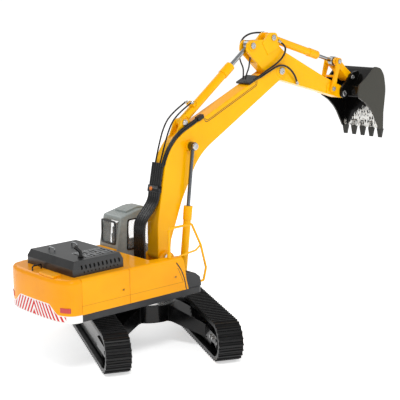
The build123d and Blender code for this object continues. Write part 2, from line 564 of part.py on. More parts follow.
boom_barrel = barrel(BOOM_BASE_PIN, BOOM_ROD_PIN, BOOM_CYLINDER_Y, 2.4, 2.8, BOOM_STROKE_LENGTH,
                           BOOM_ROD_R + CLEAR, 27.0, 3.6, 2.4)
nodes["boom_cylinder_barrels"] = group([both(boom_barrel)])
boom_rod = rod(BOOM_BASE_PIN, BOOM_ROD_PIN, BOOM_CYLINDER_Y, BOOM_ROD_R, 31.0, 3.4, 2.6, OPEN_PIVOT)
nodes["boom_cylinder_rods"] = group([both(boom_rod)])
nodes["stick_cylinder_barrel"] = barrel(STICK_BASE_PIN, STICK_ROD_PIN, 0, 2.75, 3.15, 52.6, STICK_ROD_R + CLEAR,
                                        43.6, 4.4, 2.6)
nodes["stick_cylinder_rod"] = rod(STICK_BASE_PIN, STICK_ROD_PIN, 0, STICK_ROD_R, 15.0, 4.0, 3.2, 2.5)
nodes["bucket_cylinder_barrel"] = barrel(BUCKET_BASE_PIN, ROCKER_TOP, 0, 2.6, 2.95, 47.6, BUCKET_ROD_R + CLEAR,
                                         24.0, 4.8, 2.6)
nodes["bucket_cylinder_rod"] = rod(BUCKET_BASE_PIN, ROCKER_TOP, 0, BUCKET_ROD_R, 32.0, 3.4, 3.2, 2.5)


# ---------------------------------------------------------------- stick
def stick():
    """Tapered cast stick: forked rear lugs, cylinder lugs on top and a boss at its tip."""
    outline = [(82.4, 179.6), (81.6, 173.2), (97.0, 159.6), (104.0, 153.4), (112.0, 153.0), (175.7, 135.4),
               (175.7, 143.2), (151.3, 153.8), (115.7, 171.4), (109.3, 176.5), (100.1, 180.0)]
    radii = [3.4, 3.2, 3.0, 5.0, 8.0, 3.3, 3.3, 1.0, 6.0, 6.0, 8.0]
    shape = side(outline, -STICK_HALF, STICK_HALF, radii)
    shape = fillet(shape.edges().filter_by(Plane.XZ), 0.5)
    lug = side([(95.0, 178.0), (101.8, 184.2), (108.0, 184.0), (110.6, 174.5), (100.0, 170.0)], 2.7, 4.35,
               [0, 2.9, 2.9, 0, 0])
    shape = shape + both(lug)
    rear = pin(STICK_ROD_PIN, 2.4, 4.35, 3.4)
    shape = shape + both(rear)
    tip = side([(156.4, 140.6), (172.2, 136.1), (175.8, 139.6), (174.4, 142.6), (163.0, 148.2), (156.9, 147.0)],
               -TIP_HALF, TIP_HALF, [0.5, 3.0, 2.0, 1.5, 2.0, 0.5])
    shape = shape + tip
    eye_room = side([(79, 184), (79, 165), (90.6, 165.4), (91.6, 172.0), (91.2, 181.5)], -2.4, 2.4, 0)
    barrel_room = side([(99.2, 186), (101.3, 177.2), (104.5, 177.0), (118.5, 172.8), (122, 186)], -2.7, 2.7, 0)
    shape = shape - eye_room - barrel_room
    bores = (pin(BOOM_TIP, -9, 9, 1.4 + RUNNING) + pin(ROCKER_FOOT, -9, 9, PIN_R + RUNNING)
             + pin(BUCKET_PIVOT, -9, 9, 1.3 + RUNNING) + pin(BUCKET_BASE_PIN, -9, 9, PIN_R + RUNNING)
             + pin(STICK_ROD_PIN, -9, 9, 0.7 + RUNNING))
    return shape - bores


nodes["stick"] = stick()
nodes["stick_pins"] = group([
    headed_pin(STICK_ROD_PIN, 4.35, 0.7, 2.0),
    headed_pin(BUCKET_BASE_PIN, 4.35, PIN_R, 1.9),
    headed_pin(ROCKER_FOOT, 6.15, PIN_R, 1.5, 0.6),
])

ARM_Y = (4.75, 6.05)


def lever(start, end, before, after, half_start, half_middle, half_end, y_low, y_high):
    """A flat lever between two pivots, waisted in the middle and round at both ends."""
    length = hypot(end[0] - start[0], end[1] - start[1])
    across = ((start[1] - end[1]) / length, (end[0] - start[0]) / length)
    corners = []
    for run, half in ((-before, -half_start), (length / 2, -half_middle), (length + after, -half_end),
                      (length + after, half_end), (length / 2, half_middle), (-before, half_start)):
        x, z = along(start, end, run)
        corners.append((x + across[0] * half, z + across[1] * half))
    radii = [0.8 * half_start, 8, 0.8 * half_end, 0.8 * half_end, 8, 0.8 * half_start]
    return side(corners, y_low, y_high, radii)


def rocker():
    """H-shaped rocker: two arms joined by a cross bar."""
    foot = ROCKER_FOOT
    top = ROCKER_TOP
    arm = lever(foot, top, 2.4, 2.4, 2.4, 1.6, 2.4, *ARM_Y)
    cross = pin(along(foot, top, 8.6), -ARM_Y[0] - 0.2, ARM_Y[0] + 0.2, 0.85)
    bores = pin(foot, -9, 9, PIN_R + RUNNING) + pin(top, -9, 9, 0.8 + RUNNING)
    return (arm - bores) + (mirror(arm, about=Plane.XZ) - bores) + cross


nodes["rocker"] = rocker()
nodes["rocker_pin"] = headed_pin(ROCKER_TOP, ARM_Y[1], 0.8, 1.6, 0.6)


def bucket_link():
    """Box-type link: forked over the rod eye, a loose eye between the bucket's lugs."""
    body = lever(ROCKER_TOP, BUCKET_LUG, 2.5, 3.0, 2.5, 2.2, 3.0, -LINK_HALF, LINK_HALF)
    fork = pin(ROCKER_TOP, -2.3, 2.3, 6.0)
    return body - fork - pin(ROCKER_TOP, -9, 9, 0.8 + RUNNING) - pin(BUCKET_LUG, -9, 9, 2.4)


nodes["bucket_link"] = bucket_link()


# ---------------------------------------------------------------- bucket
SHELL_OUTER = [(176.6, 137.2), (176.6, 144.6), (181.6, 144.8), (185.6, 148.4), (191.4, 157.2), (197.2, 155.6),
               (200.6, 150.8), (202.6, 141.0), (200.6, 124.6), (200.6, 113.4)]
SHELL_RADII = [0.6, 0.8, 2.0, 5.0, 3.6, 6.0, 12, 20, 14, 0.3]


def bucket_shell():
    """Digging bucket: rolled shell, two side plates, a lip beam and a pair of lugs."""
    x_lip = 199.2
    inner = [(x_lip, 113.4), (x_lip, 124.8), (201.2, 141.0), (199.3, 150.2), (196.4, 154.3), (192.0, 155.5),
             (186.9, 147.7), (182.2, 143.4), (180.4, 143.3), (180.4, 137.2)]
    outline = SHELL_OUTER + inner
    radii = SHELL_RADII + [0.3, 14, 20, 12, 5.0, 2.6, 4.5, 1.5, 0.6, 0.6]
    wrap = side(outline, -BUCKET_HALF + 0.2, BUCKET_HALF - 0.2, radii)
    plate_outline = [(191.2, 157.6), (197.4, 155.9), (200.9, 151.0), (202.9, 141.0), (200.9, 124.6),
                     (200.9, 112.6), (197.4, 113.0), (189.3, 126.6), (182.0, 132.8), (174.9, 136.8), (174.0, 141.2),
                     (174.6, 145.4), (183.0, 150.6)]
    plate_radii = [3.5, 6, 12, 20, 14, 0.4, 0.4, 30, 18, 1.5, 3, 3, 12]
    plate = side(plate_outline, BUCKET_HALF - SIDE_PLATE, BUCKET_HALF, plate_radii)
    lug = side([(168.9, 137.4), (175.0, 135.9), (179.6, 140.4), (188.0, 150.5), (187.2, 154.6), (181.2, 153.6),
                (177.4, 150.6), (169.4, 143.0)], 4.75, 6.3, [3.3, 3.0, 2.0, 1.5, 1.5, 3.0, 4.0, 3.3])
    bores = pin(BUCKET_PIVOT, -9, 9, 1.3 + RUNNING) + pin(BUCKET_LUG, -9, 9, 0.7 + RUNNING)
    return wrap + both(plate) + both(lug) - bores


nodes["bucket_shell"] = bucket_shell()
nodes["bucket_pins"] = group([headed_pin(BUCKET_PIVOT, 6.3, 1.3, 2.1), headed_pin(BUCKET_LUG, 6.3, 0.7, 1.6)])

TOOTH_COUNT = 5
TOOTH_PITCH = 8.0
LIP = (199.2, 200.6)


def tooth(y):
    """A point on an adapter that grips both faces of the lip."""
    middle = sum(LIP) / 2
    tip = Pos(middle - 0.1, y, 107.0) * Rectangle(0.9, 2.9)
    root = Pos(middle, y, 113.3) * Rectangle(2.7, 4.3)
    point = loft([tip.face(), root.face()])
    inner_leg = side([(LIP[0] - 0.02, 113.2), (LIP[0] - 0.02, 118.0), (LIP[0] - 0.6, 117.4), (LIP[0] - 0.9, 113.2)],
                     y - 1.3, y + 1.3)
    outer_leg = side([(LIP[1] + 0.32, 113.2), (LIP[1] + 0.9, 113.2), (LIP[1] + 0.7, 116.4), (LIP[1] + 0.32, 117.2)],
                     y - 1.3, y + 1.3)
    return point + inner_leg + outer_leg


teeth = [tooth(TOOTH_PITCH * (number - (TOOTH_COUNT - 1) / 2)) for number in range(TOOTH_COUNT)]
nodes["bucket_teeth"] = group([one - nodes["bucket_shell"] for one in teeth])


# ---------------------------------------------------------------- hoses
def hose(points, radius):
    """A hose with arcs as large as its runs allow."""
    vectors = [Vector(*point) for point in points]
    bends = []
    for before, here, after in zip(vectors, vectors[1:], vectors[2:]):
        turned = (here - before).get_angle(after - here)
        run = min((here - before).length, (after - here).length)
        bends.append(0.45 * run / tan(radians(turned / 2)))
    print("hose bends", [round(bend, 1) for bend in bends])
    return tube(points, radius, bends)


BEND_CENTRE = (41.3, 99.8)  # centre of the arc of the boom's back
HOSE_R = 0.6


def back_hose(y, height):
    """A hose that follows the boom's back round the bend, at a height above it, to the lower clamp."""
    reach = (31.0 + height) / cos(radians(6.5))
    points = [(BEND_CENTRE[0] + reach * cos(radians(spot)), y, BEND_CENTRE[1] + reach * sin(radians(spot)))
              for spot in (164.0, 151.0, 138.0, 125.0)]
    for run in (1.5, 12.5):
        points.append((28.7 + 0.914 * run - 0.407 * height, y, 128.1 + 0.407 * run + 0.914 * height))
    return hose(points, HOSE_R)


SIDE_Y = -6.3
boom_side_a = hose([(91.4, SIDE_Y, 157.2), (97.2, SIDE_Y, 160.6), (102.4, SIDE_Y, 162.8)], HOSE_R)
boom_side_b = hose([(91.8, SIDE_Y, 155.6), (96.6, SIDE_Y, 158.2), (101.4, SIDE_Y, 160.6)], HOSE_R)
lower_clamp = side([(38.2, 132.6), (42.6, 134.7), (42.0, 137.0), (37.2, 134.9)], -6.2, -3.0, 0.4)
upper_clamp = side([(81.6, 152.1), (91.0, 156.2), (90.5, 157.4), (81.1, 153.3)], -6.2, 6.2, 0.3)
nodes["boom_hoses"] = group([back_hose(-4.98, 0.75), back_hose(-4.93, 2.0), boom_side_a, boom_side_b])

nodes["hose_clamps"] = group([clamp - nodes["boom"] - nodes["boom_hoses"] for clamp in (lower_clamp, upper_clamp)])

stick_side_a = hose([(106.4, SIDE_Y, 164.5), (110.4, SIDE_Y, 166.6), (113.8, SIDE_Y + 0.2, 171.0),
                     (113.4, SIDE_Y + 1.6, 176.0)], HOSE_R)
stick_side_b = hose([(106.2, SIDE_Y, 162.5), (111.0, SIDE_Y, 163.6), (116.4, SIDE_Y, 162.0), (121.8, SIDE_Y, 157.4),
                     (125.0, SIDE_Y + 1.0, 150.8)], HOSE_R)
rear_arc = hose([(86.0, 5.9, 170.4), (84.6, 5.9, 177.4), (89.4, 5.9, 182.6), (97.0, 5.6, 184.4), (103.0, 5.3, 184.0)],
                HOSE_R)
nodes["stick_hoses"] = group([stick_side_a, stick_side_b, rear_arc])

os.makedirs("parts", exist_ok=True)
for name, shape in nodes.items():
    export_step(shape, os.path.join("parts", name + ".step"))
print(len(nodes), "nodes")
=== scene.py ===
# %% [markdown]
# A die-cast toy excavator, about 1:40, finished around its CAD frame. The CAD model brings every part that
# fits or moves. This file gives those parts their paint, plastic and metal, and adds what is soft, printed
# or too fine for CAD: the hose strip, the hoses, window seals, pin ends, latches, printed stripes and worn
# edges.

# %% Load the frame
import json
import math

import bmesh
import bpy
import numpy as np
from mathutils import Matrix, Vector


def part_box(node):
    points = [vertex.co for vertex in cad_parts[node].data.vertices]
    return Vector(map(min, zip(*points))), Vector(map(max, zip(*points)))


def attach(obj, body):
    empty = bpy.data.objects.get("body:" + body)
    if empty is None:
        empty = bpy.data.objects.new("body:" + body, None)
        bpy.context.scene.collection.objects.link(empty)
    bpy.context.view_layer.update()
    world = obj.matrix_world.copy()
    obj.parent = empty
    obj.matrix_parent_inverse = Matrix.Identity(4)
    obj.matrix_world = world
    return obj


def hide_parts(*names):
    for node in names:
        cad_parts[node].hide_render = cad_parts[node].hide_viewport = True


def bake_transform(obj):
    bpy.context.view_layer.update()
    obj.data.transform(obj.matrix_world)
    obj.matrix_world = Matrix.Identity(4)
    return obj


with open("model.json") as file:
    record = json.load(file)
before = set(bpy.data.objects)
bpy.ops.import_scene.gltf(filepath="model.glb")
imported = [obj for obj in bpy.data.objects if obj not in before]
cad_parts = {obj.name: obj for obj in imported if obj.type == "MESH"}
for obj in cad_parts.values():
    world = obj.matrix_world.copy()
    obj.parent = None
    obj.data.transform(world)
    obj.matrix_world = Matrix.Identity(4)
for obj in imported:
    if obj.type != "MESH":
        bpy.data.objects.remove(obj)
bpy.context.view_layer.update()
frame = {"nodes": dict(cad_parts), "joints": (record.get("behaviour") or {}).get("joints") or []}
nodes = frame["nodes"]
MM = 0.001

# %% [markdown]
# A camera first. A long lens from behind and to the right flattens the machine the way a catalogue picture
# does. The place is written as a point, a heading, a dip and a slight roll, because those four are what one
# would set on a tripod. The lens is chosen on a 36 mm sensor.

# %% The camera
CAMERA_PLACE = np.array([-416.9, -524.7, 221.5]) * MM
HEADING, DIP, ROLL = math.radians(48.73), math.radians(11.33), math.radians(-0.74)


def camera_axes(heading, dip, roll):
    """Right, up and forward unit vectors: level ones first, then turned about forward by the roll."""
    forward = np.array([math.cos(heading) * math.cos(dip), math.sin(heading) * math.cos(dip), -math.sin(dip)])
    level_right = np.array([math.sin(heading), -math.cos(heading), 0.0])
    level_up = np.cross(level_right, forward)
    right = level_right * math.cos(roll) + level_up * math.sin(roll)
    return right, np.cross(right, forward), forward


def make_camera():
    right, up, forward = camera_axes(HEADING, DIP, ROLL)
    data = bpy.data.cameras.new("camera")
    data.lens, data.sensor_width = 101.2, 36.0
    data.clip_start, data.clip_end = 0.05, 200.0
    camera = bpy.data.objects.new("camera", data)
    matrix = np.eye(4)
    matrix[:3, 0], matrix[:3, 1], matrix[:3, 2], matrix[:3, 3] = right, up, -forward, CAMERA_PLACE
    camera.matrix_world = Matrix(matrix.tolist())
    bpy.context.scene.collection.objects.link(camera)
    bpy.context.scene.camera = camera
    return camera


camera = make_camera()
bpy.context.view_layer.update()
print("camera at", [round(v, 3) for v in camera.matrix_world.translation])

# %% [markdown]
# Materials are made of nodes. One small function adds a node, sets what it is told and joins its inputs, so
# that each recipe below reads from top to bottom. Colours are written as the hex values that a paint chart
# gives and are turned to linear light once.


# %% Colour and node helpers
def linear(hex_code):
    """sRGB hex to linear light: the lower part of the curve is a line, the rest a power of 2.4."""
    parts = np.array([int(hex_code[i:i + 2], 16) for i in (0, 2, 4)]) / 255
    bent = np.where(parts <= 0.04045, parts / 12.92, ((parts + 0.055) / 1.055) ** 2.4)
    return (*[float(v) for v in bent], 1.0)


def add(tree, kind, settings=None, **inputs):
    """Adds a node. Settings are its properties; inputs are sockets by name or number, with _ for a space."""
    node = tree.nodes.new(kind)
    for name, value in (settings or {}).items():
        setattr(node, name, value)
    for name, value in inputs.items():
        key = int(name[1:]) if name[0] == "n" and name[1:].isdigit() else name.replace("_", " ")
        socket = node.inputs[key]
        if isinstance(value, bpy.types.NodeSocket):
            tree.links.new(value, socket)
        else:
            socket.default_value = value
    return node


def new_material(name, colour, roughness, metallic=0.0, ior=1.5, coat=0.0, shine=0.5):
    """A material with one Principled shader, ready for patterns. Shine scales a non-metal's reflection."""
    material = bpy.data.materials.new(name)
    material.use_nodes = True
    tree = material.node_tree
    tree.nodes.clear()
    shader = add(tree, "ShaderNodeBsdfPrincipled", Base_Color=linear(colour), Roughness=roughness,
                 Metallic=metallic, IOR=ior, Coat_Weight=coat, Coat_Roughness=0.05, Specular_IOR_Level=shine)
    add(tree, "ShaderNodeOutputMaterial", Surface=shader.outputs[0])
    material.diffuse_color = linear(colour)
    return material, tree, shader


def place(tree):
    """The point on the piece, in metres."""
    return add(tree, "ShaderNodeTexCoord").outputs["Object"]


def math_node(tree, operation, first, second=0.0, third=0.0):
    return add(tree, "ShaderNodeMath", {"operation": operation}, n0=first, n1=second, n2=third).outputs[0]


def noise(tree, spot, grain_mm, detail=3.0):
    """Noise whose features are about grain_mm across."""
    grain = add(tree, "ShaderNodeTexNoise", Vector=spot, Scale=1.0 / (grain_mm * MM), Detail=detail)
    return grain.outputs["Fac"]


def mix(tree, share, first, second):
    node = add(tree, "ShaderNodeMix", {"data_type": "RGBA"}, n0=share)
    for number, value in ((6, first), (7, second)):
        if isinstance(value, bpy.types.NodeSocket):
            tree.links.new(value, node.inputs[number])
        else:
            node.inputs[number].default_value = value
    return node.outputs[2]


def spread(tree, value, low, high, out_low=0.0, out_high=1.0):
    """Maps a value between two limits to two others, and holds it there."""
    return add(tree, "ShaderNodeMapRange", n0=value, n1=low, n2=high, n3=out_low, n4=out_high).outputs[0]


def bump(tree, shader, height, depth_mm, strength=1.0, edge_mm=0.0):
    """Joins a height pattern to the shader, over edges that look rounded by edge_mm."""
    node = add(tree, "ShaderNodeBump", Strength=strength, Distance=depth_mm * MM, Height=height)
    if edge_mm:
        rounded = add(tree, "ShaderNodeBevel", {"samples": 4}, Radius=edge_mm * MM)
        tree.links.new(rounded.outputs[0], node.inputs["Normal"])
    tree.links.new(node.outputs[0], shader.inputs["Normal"])
    return node


# %% [markdown]
# Enamel on zinc. The castings are dipped or sprayed, so the paint is thick, glossy and a little wavy, like
# orange peel, and it pulls back from edges. A broad noise shifts the colour by a percent or two, a fine one
# makes the peel, and the Bevel node rounds the CAD's sharp edges just enough to catch a highlight.


# %% Enamels
def enamel(name, colour, deeper, roughness=0.2, peel=0.012, edge_mm=0.3, shine=0.16):
    material, tree, shader = new_material(name, colour, roughness, coat=0.08, shine=shine)
    spot = place(tree)
    tone = mix(tree, spread(tree, noise(tree, spot, 22.0), 0.35, 0.7), linear(colour), linear(deeper))
    tree.links.new(tone, shader.inputs["Base Color"])
    rough = spread(tree, noise(tree, spot, 5.0), 0.3, 0.7, roughness - 0.02, roughness + 0.03)
    tree.links.new(rough, shader.inputs["Roughness"])
    bump(tree, shader, noise(tree, spot, 2.2, 1.0), peel, 0.2, edge_mm)
    return material, tree, shader, tone


golden_enamel = enamel("golden_yellow_enamel", "f9a900", "f3a000")[0]
bright_enamel = enamel("bright_yellow_enamel", "fcb900", "f8af00")[0]
black_enamel = enamel("gloss_black_enamel", "060607", "030304", 0.16, 0.02, 0.3, 0.3)[0]


def axis_values(tree):
    """The three coordinates of the point on the piece, in millimetres."""
    scaled = add(tree, "ShaderNodeVectorMath", {"operation": "SCALE"}, n0=place(tree), Scale=1.0 / MM)
    return add(tree, "ShaderNodeSeparateXYZ", Vector=scaled.outputs[0]).outputs


def line_at(tree, value, centre, half):
    """1 within half a width of a value, falling to 0 over a tenth of a millimetre."""
    away = math_node(tree, "ABSOLUTE", math_node(tree, "SUBTRACT", value, centre))
    return spread(tree, away, half, half + 0.1, 1.0, 0.0)


# %% [markdown]
# The side doors have a pressed crease a third of the way up. It is drawn as a darker line, like the shadow
# that a shallow groove holds, and only on the two outer faces.


# %% Door enamel with its crease
CREASE_Z = 42.0


def door_enamel():
    material, tree, shader, tone = enamel("door_yellow_enamel", "f9aa00", "f4a100")
    x, y, z = axis_values(tree)
    outer = spread(tree, math_node(tree, "ABSOLUTE", y), 30.2, 30.4)
    crease = math_node(tree, "MULTIPLY", line_at(tree, z, CREASE_Z, 0.1), outer)
    # The crease line is painted shade: the paint is mixed towards dark brown along it.
    crease_painted_shade = math_node(tree, "MULTIPLY", crease, 0.55)
    tree.links.new(mix(tree, crease_painted_shade, tone, linear("a0620a")), shader.inputs["Base Color"])
    return material


door_paint = door_enamel()

# %% [markdown]
# The counterweight is printed after painting: a white band along its foot that dips to a thin strip at each
# side, with slanted red bars that lean outwards from the middle. Both follow the curved casting, so they
# are drawn from the point's place: y says where along the rear, z how high. The band's upper edge is one
# smooth step in |y|.

# %% Counterweight print
BAND_HIGH, BAND_LOW = 42.6, 37.2
BAND_TURN = (13.5, 22.5)      # where the edge starts and ends its dip, mm from the middle
BAR_PITCH, BAR_LEAN = 3.0, 0.55
BAR_MARGIN = 0.5              # white left between the bars and the band's upper edge
BAR_FOOT_Z, BAR_END = 33.6, 26.6


def counterweight_enamel():
    material, tree, shader, tone = enamel("printed_counterweight_enamel", "f8a200", "f29900")
    x, y, z = axis_values(tree)
    across = math_node(tree, "ABSOLUTE", y)
    dip = add(tree, "ShaderNodeMapRange", {"interpolation_type": "SMOOTHSTEP"}, n0=across, n1=BAND_TURN[0],
              n2=BAND_TURN[1], n3=BAND_HIGH, n4=BAND_LOW).outputs[0]
    band = spread(tree, math_node(tree, "SUBTRACT", dip, z), 0.0, 0.12)
    printed = mix(tree, band, tone, linear("f2f1ee"))
    slant = math_node(tree, "ADD", across, math_node(tree, "MULTIPLY", z, BAR_LEAN))
    phase = math_node(tree, "FRACT", math_node(tree, "DIVIDE", slant, BAR_PITCH))
    from_bar = math_node(tree, "ABSOLUTE", math_node(tree, "SUBTRACT", phase, 0.5))
    bar = spread(tree, from_bar, 0.24, 0.27, 1.0, 0.0)
    upper = spread(tree, math_node(tree, "SUBTRACT", dip, z), BAR_MARGIN, BAR_MARGIN + 0.1)
    lower = spread(tree, z, BAR_FOOT_Z, BAR_FOOT_Z + 0.1)
    middle = spread(tree, across, BAR_END, BAR_END + 0.2, 1.0, 0.0)
    mask = math_node(tree, "MULTIPLY", math_node(tree, "MULTIPLY", bar, upper),
                     math_node(tree, "MULTIPLY", lower, middle))
    tree.links.new(mix(tree, mask, printed, linear("d2232a")), shader.inputs["Base Color"])
    return material


counterweight_paint = counterweight_enamel()

# %% [markdown]
# Moulded plastics. Dark grey ABS for the hood and steps, black for the strip and rails, light grey for the
# cab, and a softer black for the tracks. Each has a spark-eroded mould grain of about half a millimetre,
# and dust and handling make the gloss uneven.


# %% Plastics
def plastic(name, colour, lighter, roughness, grain_mm, depth_mm, edge_mm=0.22, shine=0.4):
    material, tree, shader = new_material(name, colour, roughness, ior=1.52, shine=shine)
    spot = place(tree)
    tone = mix(tree, spread(tree, noise(tree, spot, 9.0), 0.35, 0.75), linear(colour), linear(lighter))
    tree.links.new(tone, shader.inputs["Base Color"])
    rough = spread(tree, noise(tree, spot, 3.0), 0.3, 0.7, roughness - 0.05, roughness + 0.08)
    tree.links.new(rough, shader.inputs["Roughness"])
    bump(tree, shader, noise(tree, spot, grain_mm, 2.0), depth_mm, 0.6, edge_mm)
    return material


step_plastic = plastic("dark_grey_abs", "242527", "2e2f31", 0.34, 0.5, 0.012, 0.3)
black_plastic = plastic("black_abs", "0c0c0d", "131314", 0.26, 0.5, 0.012)
track_plastic = plastic("track_soft_black_plastic", "060607", "0d0d0e", 0.34, 0.4, 0.03, 0.2, 0.3)
cab_plastic = plastic("light_grey_abs", "8f9694", "989f9d", 0.26, 0.6, 0.008)
seat_plastic = plastic("seat_black_plastic", "151517", "1f1f22", 0.5, 0.6, 0.04)
hose_rubber = plastic("hose_black_rubber", "0a0a0b", "111113", 0.32, 0.3, 0.012, 0.0)
orange_plastic = plastic("orange_button_plastic", "d9701a", "e68428", 0.22, 0.5, 0.01)


HOOD_TOP_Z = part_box("engine_hood")[1][2] / MM
LOUVRE_PITCH = 1.25
LOUVRE_BANKS = ((-15.9, 3.0), (-8.3, 3.2))      # middle and half width of each bank across the hood
LOUVRE_RUN = (-49.2, 10.4)                      # middle and half length of the banks along the hood


def hood_with_louvres():
    """The hood's top has two banks of pressed louvres. Each rib rises a little; its crest is painted lighter,
    a painted highlight.
    """
    material, tree, shader = new_material("dark_grey_hood_abs", "222324", 0.28, ior=1.52, shine=0.45)
    x, y, z = axis_values(tree)
    spot = place(tree)
    along = math_node(tree, "FRACT", math_node(tree, "DIVIDE", x, LOUVRE_PITCH))
    from_crest = math_node(tree, "ABSOLUTE", math_node(tree, "SUBTRACT", along, 0.5))
    crest = spread(tree, from_crest, 0.16, 0.3, 1.0, 0.0)
    right_bank, left_bank = [line_at(tree, y, middle, half) for middle, half in LOUVRE_BANKS]
    side = math_node(tree, "ADD", right_bank, left_bank)
    bank = math_node(tree, "MULTIPLY", side, line_at(tree, x, *LOUVRE_RUN))
    top = spread(tree, z, HOOD_TOP_Z - 0.4, HOOD_TOP_Z - 0.3)
    ribs = math_node(tree, "MULTIPLY", math_node(tree, "MULTIPLY", crest, bank), top)
    tone = mix(tree, spread(tree, noise(tree, spot, 9.0), 0.35, 0.75), linear("222324"), linear("2e2f30"))
    # The rib crests are mixed towards light grey: a painted highlight on each crest.
    wear_and_painted_highlight = mix(tree, math_node(tree, "MULTIPLY", ribs, 0.95), tone, linear("b4b6b8"))
    tree.links.new(wear_and_painted_highlight, shader.inputs["Base Color"])
    grain = math_node(tree, "MULTIPLY", noise(tree, spot, 0.5, 2.0), 0.06)
    bump(tree, shader, math_node(tree, "ADD", ribs, grain), 0.25, 0.8, 0.35)
    return material


hood_plastic = hood_with_louvres()


def red_lens():
    material, tree, shader = new_material("red_reflector_lens", "c01818", 0.14, ior=1.49, coat=0.6)
    x, y, z = axis_values(tree)
    ribs = math_node(tree, "SINE", math_node(tree, "MULTIPLY", y, 2 * math.pi / 0.6))
    bump(tree, shader, ribs, 0.04, 0.6)
    tone = mix(tree, spread(tree, ribs, -1.0, 1.0), linear("a81212"), linear("d8261f"))
    tree.links.new(tone, shader.inputs["Base Color"])
    return material


lens_red = red_lens()


def clear_glazing():
    """Clear polystyrene: thin panes, so most light passes and the rest is a sharp reflection."""
    material, tree, shader = new_material("clear_polystyrene", "e8eef0", 0.02, ior=1.59)
    shader.inputs["Alpha"].default_value = 0.12
    tone = mix(tree, noise(tree, place(tree), 12.0), linear("dfe8ea"), linear("f2f6f7"))
    tree.links.new(tone, shader.inputs["Base Color"])
    return material


glazing = clear_glazing()


# %% [markdown]
# Bare metals. Rods are chromed and polished lengthways, pins are turned, so their marks run round the axis.
# The boom's two rods look darker than the rest, so their chrome has a darker base colour: a painted dark
# reflection.
# All keep the default IOR, which metals do not use.


# %% Metals
def bare_metal(name, colour, darker, roughness, stretch):
    """Fine marks, drawn out along one axis by squeezing the pattern's coordinates on the others."""
    material, tree, shader = new_material(name, colour, roughness, metallic=1.0)
    squeezed = add(tree, "ShaderNodeMapping", Vector=place(tree), Scale=stretch)
    marks = noise(tree, squeezed.outputs[0], 0.8)
    rough = spread(tree, marks, 0.3, 0.7, roughness - 0.06, roughness + 0.08)
    tree.links.new(rough, shader.inputs["Roughness"])
    tone = mix(tree, spread(tree, marks, 0.35, 0.75), linear(colour), linear(darker))
    tree.links.new(tone, shader.inputs["Base Color"])
    bump(tree, shader, marks, 0.006, 0.15, 0.1)
    return material


# The boom rods' chrome is darker: a painted dark reflection in its base colour.
rod_chrome_painted_dark_reflection = bare_metal("polished_chrome", "6c6f72", "4d5053", 0.1, (1.0, 4.0, 1.0))
bright_chrome = bare_metal("bright_chrome", "b4b6b8", "85888b", 0.12, (1.0, 4.0, 1.0))
pin_steel = bare_metal("turned_steel", "cfcfce", "a3a3a2", 0.24, (3.0, 1.0, 3.0))


# %% [markdown]
# The bucket is near-black enamel. The outer faces of its side plates are painted a lighter dark olive-grey, a
# painted reflection. Inside it has been rubbed bright near the lip, as if it had dug: an arched patch of
# scratched silver, broken up by a noise of five octaves that is stretched along z, because scratches run up
# the shell. The patch stays on the inner face, which is where x lies between two limits.


# %% Bucket enamel
PATCH_PEAK_Y, PATCH_PEAK_Z, PATCH_FALL = -5.0, 129.5, 0.045      # the arch is a parabola round its peak
PATCH_INNER_X = (196.0, 199.9)
PLATE_INNER_Y = 16.5
ADAPTER_Z = 113.6


def bucket_enamel():
    material, tree, shader, tone = enamel("worn_bucket_enamel", "0d0c0a", "080807", 0.2, 0.02)
    x, y, z = axis_values(tree)
    spot = place(tree)
    streaks = add(tree, "ShaderNodeMapping", Vector=spot, Scale=(1.0, 1.0, 0.5))
    ragged = noise(tree, streaks.outputs[0], 1.1, 5.0)
    from_peak = math_node(tree, "SUBTRACT", y, PATCH_PEAK_Y)
    arch = math_node(tree, "MULTIPLY", math_node(tree, "MULTIPLY", from_peak, from_peak), -PATCH_FALL)
    below_arch = math_node(tree, "SUBTRACT", math_node(tree, "ADD", arch, PATCH_PEAK_Z), z)
    height = spread(tree, below_arch, -2.0, 2.5)
    between = spread(tree, math_node(tree, "ABSOLUTE", y), PLATE_INNER_Y - 0.9, PLATE_INNER_Y, 1.0, 0.0)
    front, back = PATCH_INNER_X
    before_back = spread(tree, x, back - 0.4, back, 1.0, 0.0)
    inside = math_node(tree, "MULTIPLY", before_back, spread(tree, x, front, front + 1.5))
    cover = math_node(tree, "MULTIPLY", math_node(tree, "MULTIPLY", height, between), inside)
    specks = math_node(tree, "MULTIPLY", math_node(tree, "SUBTRACT", ragged, 0.62), 3.2)
    wear_and_painted_highlight = spread(tree, math_node(tree, "ADD", cover, math_node(tree, "MINIMUM", specks, 0.2)), 0.3, 0.62)
    plate = spread(tree, math_node(tree, "ABSOLUTE", y), PLATE_INNER_Y + 0.2, PLATE_INNER_Y + 0.4)
    # The outer faces of the side plates are mixed towards olive-grey: a painted reflection.
    plate_painted_reflection = mix(tree, plate, tone, linear("3f3e38"))
    tree.links.new(mix(tree, wear_and_painted_highlight, plate_painted_reflection, linear("eeeeea")), shader.inputs["Base Color"])
    tree.links.new(math_node(tree, "MULTIPLY", wear_and_painted_highlight, 0.5), shader.inputs["Metallic"])
    return material


